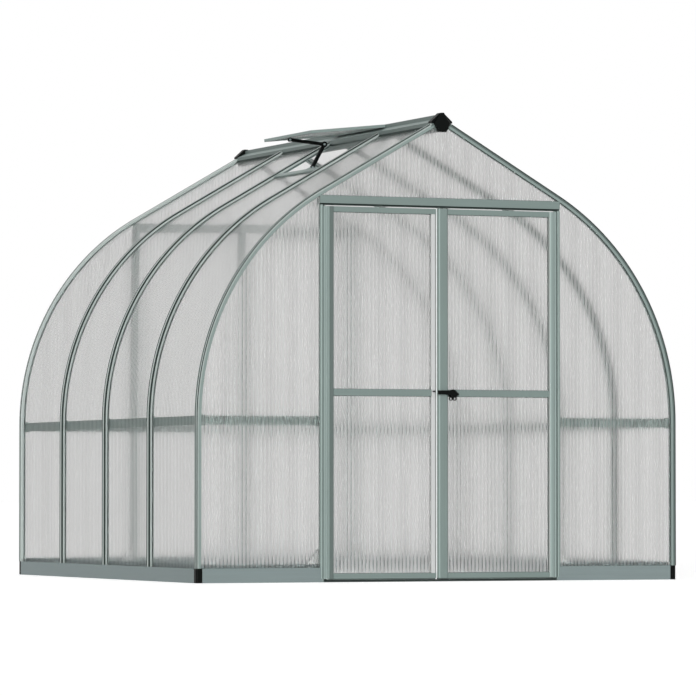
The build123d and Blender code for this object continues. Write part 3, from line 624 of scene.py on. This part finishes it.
def loop_seal(shape, low_x, high_x, low_z, high_z, back, front, closed=True):
    """A seal round an opening, with mitred corners; one that isn't closed leaves out the right side"""
    rings = []
    for x, z, way_x, way_z in ((high_x, high_z, -1, -1), (low_x, high_z, 1, -1),
                               (low_x, low_z, 1, 1), (high_x, low_z, -1, 1)):
        rings.append([(x + way_x * s, y, z + way_z * s) for s, y in wedge(SEAL_WIDTH, back, front)])
    shape.bar(rings, closed)


def box_bar(shape, lows, highs):
    """A straight bar along z between two corners"""
    corners = ((lows[0], lows[1]), (highs[0], lows[1]), (highs[0], highs[1]), (lows[0], highs[1]))
    shape.bar([[(x, y, z) for x, y in corners] for z in (lows[2], highs[2])])


def circle():
    """Cosine and sine of the points round a small circle"""
    turns = [2 * math.pi * number / BOLT_SIDES for number in range(BOLT_SIDES)]
    return [(math.cos(turn), math.sin(turn)) for turn in turns]


def door_sweep(shape, side, left_x, right_x, foot):
    """A sweep under the bottom rail of a leaf, and a round foot under its hinge"""
    (_, front_y, low_z), (_, back_y, _) = foot
    middle_y = (front_y + back_y) / 2
    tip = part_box("door_threshold")[1].z + SWEEP_PLAY
    section = ((-SWEEP_HALF, low_z), (-SWEEP_HALF, tip), (SWEEP_HALF, tip), (SWEEP_HALF, low_z))
    if side == "left":
        ends = (left_x + KNUCKLE_REACH, right_x - SWEEP_END_GAP)
        hinge_x = left_x + KNUCKLE_RADIUS
    else:
        ends = (left_x + SWEEP_END_GAP, right_x - KNUCKLE_REACH)
        hinge_x = right_x - KNUCKLE_RADIUS
    shape.bar([[(x, middle_y + s, z) for s, z in section] for x in ends])
    hinge_y = front_y - COVER_RAIL_STEP + HINGE_DEPTH
    disc = [(hinge_x + FOOT_RADIUS * across, hinge_y + FOOT_RADIUS * along) for across, along in circle()]
    shape.bar([[(x, y, z) for x, y in disc] for z in (tip, low_z - SWEEP_PLAY)])


def door_seals(side):
    """Seals round a leaf's panes, on both faces, with its sweep; the left leaf's meeting side has none"""
    left_stile, right_stile = solid_boxes(f"{side}_door_stiles")
    rails = sorted(solid_boxes(f"{side}_door_rails"), key=lambda box: box[0].z)
    pane_low, pane_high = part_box(f"{side}_door_panes")
    shape = Shape()
    for below, above in zip(rails, rails[1:]):
        for back, front in ((pane_low.y, pane_low.y - SEAL_HEIGHT), (pane_high.y, pane_high.y + SEAL_HEIGHT)):
            edges = (left_stile[1].x, right_stile[0].x, below[1].z, above[0].z)
            loop_seal(shape, *edges, back, front, closed=side == "right")
    door_sweep(shape, side, left_stile[0].x, right_stile[1].x, rails[0])
    shape.piece(f"{side}_door_seals", glazing_seal, f"{side}_door")


def meeting_strip():
    """Strip with a painted highlight on the meeting edge of the left leaf, a thin dark line of painted shade
    beside it and the rails' ends
    """
    _, (lows, highs) = solid_boxes("left_door_stiles")
    strip = Shape()
    box_bar(strip, (highs.x, lows.y + STRIP_PLAY, lows.z),
            (highs.x + LEAF_GAP - STRIP_PLAY, lows.y + STRIP_DEPTH, highs.z))
    strip.piece("meeting_strip", highlight_strip, "left_door")
    line = Shape()
    box_bar(line, (highs.x - EDGE_LINE[1], lows.y - EDGE_LINE_HEIGHT, lows.z),
            (highs.x - EDGE_LINE[0], lows.y, highs.z))
    # Painted shade: the dark line stands for the shadow gap beside the strip
    line.piece("meeting_line", rubber_and_painted_shade, "left_door")
    ends = Shape()
    rails = sorted(solid_boxes("left_door_rails"), key=lambda box: box[0].z)
    for rail_low, rail_high in (rails[0], rails[-1]):
        box_bar(ends, (lows.x, lows.y - RAIL_END_HEIGHT, rail_low.z), (highs.x, lows.y, rail_high.z))
    ends.piece("rail_ends", header_metal, "left_door")


def stile_cover(side):
    """Rounded cover along the front of a hinge stile, highest beside the knuckle"""
    boxes = solid_boxes(f"{side}_door_stiles")
    lows, highs = boxes[0] if side == "left" else boxes[1]
    way = 1 if side == "left" else -1
    knuckle = lows.x if way > 0 else highs.x
    pane = highs.x if way > 0 else lows.x
    start = knuckle + way * KNUCKLE_REACH
    width = abs(pane - start)
    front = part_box(f"{side}_door_rails")[0].y - COVER_RAIL_STEP
    section = [(start, front)]
    for step in range(COVER_STEPS + 1):
        angle = math.pi / 2 * step / COVER_STEPS
        section.append((start + way * width * math.cos(angle), front - COVER_HEIGHT * math.sin(angle)))
    shape = Shape()
    shape.bar([[(x, y, z) for x, y in section] for z in (lows.z, highs.z)])
    # The left cover gets painted shade, the right one the plain frame metal
    finish = painted_shade_metal if side == "left" else metals["z"]
    shape.piece(f"{side}_stile_cover", finish, f"{side}_door")


def jamb_lines():
    """Dark lines of painted shadow along the front of the jambs, beside the hinges, and a rounded bead beyond
    each
    """
    shape = Shape()
    low_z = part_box("left_door_stiles")[0].z
    high_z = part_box("door_header")[0].z
    for way in (-1, 1):
        edges = sorted(way * (JAMB_INNER + inset) for inset in JAMB_LINE)
        box_bar(shape, (edges[0], -gable_face - EDGE_LINE_HEIGHT, low_z), (edges[1], -gable_face, high_z))
    shape.piece("jamb_lines", rubber_and_painted_shade, "frame")
    beads = Shape()
    for way in (-1, 1):
        section = []
        for step in range(BEAD_STEPS + 1):
            angle = math.pi * step / BEAD_STEPS
            x = way * (JAMB_INNER + BEAD_INSET) + BEAD_HALF * math.cos(angle)
            section.append((x, -gable_face - BEAD_HEIGHT * math.sin(angle)))
        beads.bar([[(x, y, z) for x, y in section] for z in (low_z, high_z)])
    beads.piece("jamb_beads", metals["z"], "frame")


def threshold_stops():
    """Rubber stops on the threshold, behind the feet of the hinges"""
    lows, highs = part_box("door_threshold")
    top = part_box("left_door_stiles")[0].z - SWEEP_PLAY
    front, back, foot = (lows.y + depth for depth in STOP_DEPTHS)
    section = ((front, highs.z), (front, top), (back, top), (foot, highs.z))
    shape = Shape()
    for way in (-1, 1):
        shape.bar([[(way * (highs.x - inset), y, z) for y, z in section] for inset in STOP_SPAN])
    shape.piece("threshold_stops", rubber_and_painted_shade, "frame")


def ridge_seals():
    """Dark seals on the roof sheets along both sides of the ridge beam, between the ribs"""
    ribs = [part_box(name) for name in RIB_NAMES]
    vent_low, vent_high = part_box("vent_pane")
    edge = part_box("ridge_beam")[1].x
    shape = Shape()
    for side in (-1, 1):
        section = []
        for away, rise in ((0, 0), (RIDGE_SEAL_WIDTH, 0), (0, RIDGE_SEAL_HEIGHT)):
            x = edge + away
            reach = half_width - SHEET_DEPTH
            roof = SPRING_HEIGHT + reach / math.cos(ROOF_PITCH) - x * math.tan(ROOF_PITCH)
            section.append((side * x, roof + rise))
        for before, after in zip(ribs, ribs[1:]):
            middle = (before[1].y + after[0].y) / 2
            if side < 0 and vent_low.y < middle < vent_high.y:
                continue
            shape.bar([[(x, y, z) for x, z in section] for y in (before[1].y, after[0].y)])
    shape.piece("ridge_seals", rubber_and_painted_shade, "frame")


def header_recess_shade():
    """Dark strip of painted shade along the recess under the front of the door header"""
    lows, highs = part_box("door_header")
    shape = Shape()
    section = ((RECESS_DEPTH - RECESS_FILL, 0.0), (RECESS_DEPTH - RECESS_FILL, RECESS_HEIGHT - RECESS_FILL),
               (0.0, RECESS_HEIGHT - RECESS_FILL), (0.0, RECESS_HEIGHT), (RECESS_DEPTH, RECESS_HEIGHT),
               (RECESS_DEPTH, 0.0))
    shape.bar([[(x, lows.y + inset, lows.z + rise) for inset, rise in section] for x in (lows.x, highs.x)])
    shape.piece("header_recess_shade", rubber_and_painted_shade, "frame")


def gable_edge(z, depth):
    """Distance from the middle to the bell at a height below its shoulder, a depth under its outer face"""
    reach = half_width - depth
    rise = max(0.0, z - SPRING_HEIGHT)
    return math.sqrt(reach ** 2 - rise ** 2)


def wall_seals():
    """Seals along the header and base of both gables, and along the posts of the rear one"""
    shape = Shape()
    walls = ((-gable_face, None, "door_header"), (gable_face, "rear_posts", "rear_header"))
    for face, posts, header in walls:
        inward = -math.copysign(1, face)
        back, front = face + inward * GABLE_SKIN, face + inward * (GABLE_SKIN - SEAL_HEIGHT)
        header_low, header_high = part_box(header)
        end = header_high.x
        top_edge = min(end, gable_edge(header_high.z, GABLE_LEG))
        straight_seal(shape, (-top_edge, header_high.z), (top_edge, header_high.z), (0, 1), back, front)
        post_top = SPRING_HEIGHT + gable_edge(SPRING_HEIGHT + end, GABLE_LEG)
        for way in (-1, 1):
            if posts:
                straight_seal(shape, (way * end, base_top), (way * end, post_top), (way, 0), back, front)
            edge = way * (half_width - GABLE_LEG)
            straight_seal(shape, (way * end, base_top), (edge, base_top), (0, 1), back, front)
        if posts:
            uprights = solid_boxes(posts)
            for left, right in zip(uprights, uprights[1:]):
                loop_seal(shape, left[1].x, right[0].x, base_top, header_low.z, back, front)
    shape.piece("wall_seals", glazing_seal, "frame")


def dome(shape, place, axis, radius, height):
    """A rounded head on a face, standing out along an axis"""
    axis = Vector(axis)
    side = axis.orthogonal().normalized()
    other = axis.cross(side)
    rings = []
    for rise_share, share in DOME_SHARES:
        center = Vector(place) + axis * height * rise_share
        rings.append([center + (side * across + other * along) * radius * share
                      for across, along in circle()])
    shape.bar(rings)


def frame_bolts():
    """Bolt heads inside, on the end plates of the rails and on the gussets"""
    shape = Shape()
    for name in ("front_mid_rails", "rear_mid_rails", "left_mid_rails", "right_mid_rails"):
        across = 1 if name.startswith(("front", "rear")) else 0
        along = 1 - across
        for lows, highs in solid_boxes(name):
            inward = -math.copysign(1, lows[across])
            face = (lows[across] if inward > 0 else highs[across]) + inward * PLATE_THICKNESS
            axis = [0.0, 0.0, 0.0]
            axis[across] = inward
            for place_along in (lows[along] + PLATE_MIDDLE, highs[along] - PLATE_MIDDLE):
                place = [0.0, 0.0, (lows.z + highs.z) / 2]
                place[across] = face
                place[along] = place_along
                dome(shape, place, axis, BOLT_RADIUS, BOLT_HEIGHT)
    for lows, highs in solid_boxes("post_gussets"):
        way = math.copysign(1, lows.x)
        foot = lows.x if way > 0 else highs.x
        inward = -math.copysign(1, lows.y)
        face = (lows.y if inward > 0 else highs.y) + inward * GUSSET_THICKNESS
        for away, rise in GUSSET_BOLTS:
            place = (foot + way * away, face, lows.z + rise)
            dome(shape, place, (0, inward, 0), BOLT_RADIUS, BOLT_HEIGHT)
    shape.piece("frame_bolts", steels["x"], "frame")


def stay_pins():
    """Pins through the two ends and the elbow of the vent's stay"""
    mesh = nodes["vent_stay"].data
    lows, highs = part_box("vent_stay")
    points = [vertex.co for vertex in mesh.vertices]
    tip_x = lows.x + STAY_KNUCKLE
    tip_z = max(point.z for point in points if point.x < tip_x) - STAY_KNUCKLE
    foot_z = lows.z + STAY_KNUCKLE
    foot_x = min(point.x for point in points if point.z < foot_z) + STAY_KNUCKLE
    elbow_x = highs.x - STAY_ELBOW
    elbow_z = max(point.z for point in points if point.x > elbow_x) - STAY_ELBOW
    shape = Shape()
    for x, z in ((tip_x, tip_z), (foot_x, foot_z), (elbow_x, elbow_z)):
        for face, way in ((lows.y, -1), (highs.y, 1)):
            dome(shape, (x, face, z), (0, way, 0), PIN_RADIUS, PIN_HEIGHT)
    shape.piece("stay_pins", steels["x"], "frame")


rib_shade_strips()
wall_seals()
header_recess_shade()
ridge_seals()
jamb_lines()
threshold_stops()
for leaf_side in ("left", "right"):
    door_seals(leaf_side)
    stile_cover(leaf_side)
meeting_strip()
frame_bolts()
stay_pins()


# Camera and studio
def make_camera():
    """Camera at the photograph's viewing angle"""
    data = bpy.data.cameras.new("camera")
    data.sensor_width = SENSOR_WIDTH
    data.lens = FOCAL_LENGTH
    data.clip_end = CLIP_END
    camera = bpy.data.objects.new("camera", data)
    camera.location = CAMERA_PLACE
    camera.rotation_euler = (math.radians(LEVEL_ANGLE + CAMERA_TILT), 0, math.radians(CAMERA_YAW))
    bpy.context.scene.collection.objects.link(camera)
    bpy.context.scene.camera = camera


def seen_directly(tools, names):
    """1 on a ray of one of the named kinds, else 0"""
    path = tools.add("ShaderNodeLightPath")
    total = None
    for name in names:
        total = path.outputs[name] if total is None else tools.math("MAXIMUM", total, path.outputs[name])
    return total


def make_world():
    """White surroundings that light the object at a plain level"""
    world = bpy.data.worlds.new("studio")
    bpy.context.scene.world = world
    world.use_nodes = True
    tools = Nodes(world.node_tree)
    background = world.node_tree.nodes["Background"]
    background.inputs["Color"].default_value = (1, 1, 1, 1)
    seen = seen_directly(tools, ("Is Camera Ray", "Is Glossy Ray", "Is Transmission Ray"))
    tools.link(tools.ramp(seen, AMBIENT, 1.0), background.inputs["Strength"])


def make_floor():
    """Pale floor that keeps a soft shadow and shows as the white background through the sheets"""
    bpy.ops.mesh.primitive_plane_add(size=FLOOR_SIZE)
    floor = bpy.context.object
    floor.name = "floor"
    material = bpy.data.materials.new("floor")
    material.use_nodes = True
    material.node_tree.nodes.clear()
    tools = Nodes(material.node_tree)
    diffuse = tools.add("ShaderNodeBsdfDiffuse")
    diffuse.inputs["Color"].default_value = FLOOR_COLOR
    glow = tools.add("ShaderNodeEmission")
    tools.link(tools.math("MULTIPLY", seen_directly(tools, ("Is Camera Ray",)), FLOOR_GLOW),
               glow.inputs["Strength"])
    lit = tools.add("ShaderNodeAddShader")
    tools.link(diffuse.outputs[0], lit.inputs[0])
    tools.link(glow.outputs[0], lit.inputs[1])
    white = tools.add("ShaderNodeEmission")
    mix = tools.add("ShaderNodeMixShader")
    tools.link(seen_directly(tools, ("Is Glossy Ray", "Is Transmission Ray")), mix.inputs[0])
    tools.link(lit.outputs[0], mix.inputs[1])
    tools.link(white.outputs[0], mix.inputs[2])
    output = tools.add("ShaderNodeOutputMaterial")
    tools.link(mix.outputs[0], output.inputs["Surface"])
    floor.data.materials.append(material)


def make_key():
    """Soft key light from the front left"""
    data = bpy.data.lights.new("key", "SUN")
    data.energy = KEY_STRENGTH
    data.angle = math.radians(KEY_ANGLE)
    key = bpy.data.objects.new("key", data)
    key.rotation_euler = Vector(KEY_FROM).to_track_quat("Z", "Y").to_euler()
    bpy.context.scene.collection.objects.link(key)


make_camera()
make_world()
make_floor()
make_key()
bpy.context.scene.view_settings.view_transform = "Standard"
